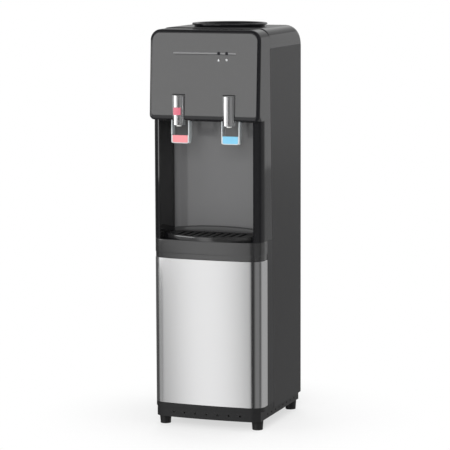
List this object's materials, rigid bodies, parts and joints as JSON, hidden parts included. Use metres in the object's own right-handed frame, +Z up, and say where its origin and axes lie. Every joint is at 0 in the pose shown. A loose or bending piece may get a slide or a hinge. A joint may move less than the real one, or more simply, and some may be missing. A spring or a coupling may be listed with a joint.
{
  "type": "top load water cooler",
  "caption": "Free-standing water cooler: hot and cold push taps over a bay with a drip tray, and a collar on top for an upturned bottle.",
  "frame": {"origin": "on the floor, under the middle of the whole box", "axes": "+X to the right as seen from the front, +Y to the rear, +Z up"},
  "size_m": [0.272, 0.336, 0.946],
  "materials": {
    "gloss_black": "polished moulding",
    "satin_black": "fine grain moulding",
    "face_grey": "polished smoked face plate",
    "bay_grey": "polished moulding",
    "black_steel": "satin powder coat",
    "silver_panel": "brushed sideways",
    "lamp_lens": "frosted lens",
    "white_plastic": "food grade moulding",
    "stainless": "mill finish",
    "foam": "beaded foam",
    "copper": "drawn tube",
    "silicone": "milky silicone",
    "dark_plastic": "satin moulding",
    "tap_silver": "satin plated",
    "paddle_white": "milky clear moulding",
    "hot_pink": "tinted insert",
    "cold_blue": "tinted insert",
    "lock_red": "polished moulding",
    "rocker_green": "polished moulding",
    "rubber": "moulded rubber"
  },
  "bodies": {
    "root": {"base_tray": "satin_black", "feet": "satin_black", "foot_pads": "rubber", "side_panel_left": "black_steel", "side_panel_right": "black_steel", "rear_panel": "black_steel", "front_frame": "satin_black", "lower_front_panel": "silver_panel", "tray_housing": "gloss_black", "bay_liner": "bay_grey", "head_shell": "gloss_black", "head_face": "face_grey", "indicator_lenses": "lamp_lens", "top_cover": "satin_black", "bottle_well": "white_plastic", "cold_tank": "stainless", "tank_insulation": "foam", "evaporator_coil": "copper", "tank_shelf": "stainless", "hot_tank": "stainless", "heater_band": "copper", "tank_link_pipe": "silicone", "hot_hose": "silicone", "cold_hose": "silicone", "tap_bracket": "stainless", "tap_body_hot": "dark_plastic", "tap_body_cold": "dark_plastic", "tap_cover_hot": "tap_silver", "tap_cover_cold": "tap_silver", "tap_nuts": "white_plastic", "compressor_plate": "black_steel", "compressor_grommets": "rubber", "compressor": "black_steel", "relay_box": "dark_plastic", "filter_drier": "copper", "suction_line": "copper", "discharge_line": "copper", "liquid_line": "copper", "condenser_tube": "black_steel", "condenser_wires": "black_steel", "condenser_brackets": "black_steel", "switch_plate": "dark_plastic", "cord_gland": "dark_plastic", "drain_spout": "white_plastic", "rear_screws": "stainless"},
    "hot_paddle": {"paddle_hot": "paddle_white", "paddle_insert_hot": "hot_pink"},
    "cold_paddle": {"paddle_cold": "paddle_white", "paddle_insert_cold": "cold_blue"},
    "hot_valve": {"valve_stem_hot": "white_plastic"},
    "cold_valve": {"valve_stem_cold": "white_plastic"},
    "child_lock": {"lock_button": "lock_red"},
    "collar": {"bottle_collar": "gloss_black", "feed_probe": "white_plastic"},
    "tray": {"drip_tray": "gloss_black"},
    "grille": {"drip_grille": "satin_black"},
    "heating_rocker": {"rocker_heating": "lock_red"},
    "cooling_rocker": {"rocker_cooling": "rocker_green"},
    "drain_plug": {"drain_cap": "dark_plastic"}
  },
  "joints": [
    {"name": "hot_paddle_push", "type": "hinge", "parent": "root", "child": "hot_paddle", "pos_m": [-0.062, -0.132, 0.745], "axis": [1, 0, 0], "range_deg": [0, 12], "stiffness_Nm_per_rad": 0.4},
    {"name": "cold_paddle_push", "type": "hinge", "parent": "root", "child": "cold_paddle", "pos_m": [0.062, -0.132, 0.745], "axis": [1, 0, 0], "range_deg": [0, 12], "stiffness_Nm_per_rad": 0.4},
    {"name": "hot_valve_lift", "type": "slide", "parent": "root", "child": "hot_valve", "axis": [0, 0, 1], "range_m": [0, 0.0045]},
    {"name": "cold_valve_lift", "type": "slide", "parent": "root", "child": "cold_valve", "axis": [0, 0, 1], "range_m": [0, 0.0045]},
    {"name": "child_lock_press", "type": "slide", "parent": "root", "child": "child_lock", "axis": [0, 1, 0], "range_m": [0, 0.0018], "stiffness_N_per_m": 400},
    {"name": "collar_lift_off", "type": "slide", "parent": "root", "child": "collar", "axis": [0, 0, 1], "range_m": [0, 0.06]},
    {"name": "drip_tray_slide", "type": "slide", "parent": "root", "child": "tray", "axis": [0, -1, 0], "range_m": [0, 0.11]},
    {"name": "drip_grille_lift", "type": "slide", "parent": "tray", "child": "grille", "axis": [0, 0, 1], "range_m": [0, 0.03]},
    {"name": "heating_switch", "type": "hinge", "parent": "root", "child": "heating_rocker", "pos_m": [0.058, 0.145, 0.8465], "axis": [-1, 0, 0], "range_deg": [0, 16]},
    {"name": "cooling_switch", "type": "hinge", "parent": "root", "child": "cooling_rocker", "pos_m": [0.082, 0.145, 0.8465], "axis": [-1, 0, 0], "range_deg": [0, 16]},
    {"name": "drain_cap_off", "type": "slide", "parent": "root", "child": "drain_plug", "axis": [0, 1, 0], "range_m": [0, 0.02]}
  ],
  "couplings": [
    {"joint": "hot_valve_lift", "follows": "hot_paddle_push", "m_per_rad": 0.021486},
    {"joint": "cold_valve_lift", "follows": "cold_paddle_push", "m_per_rad": 0.021486}
  ]
}
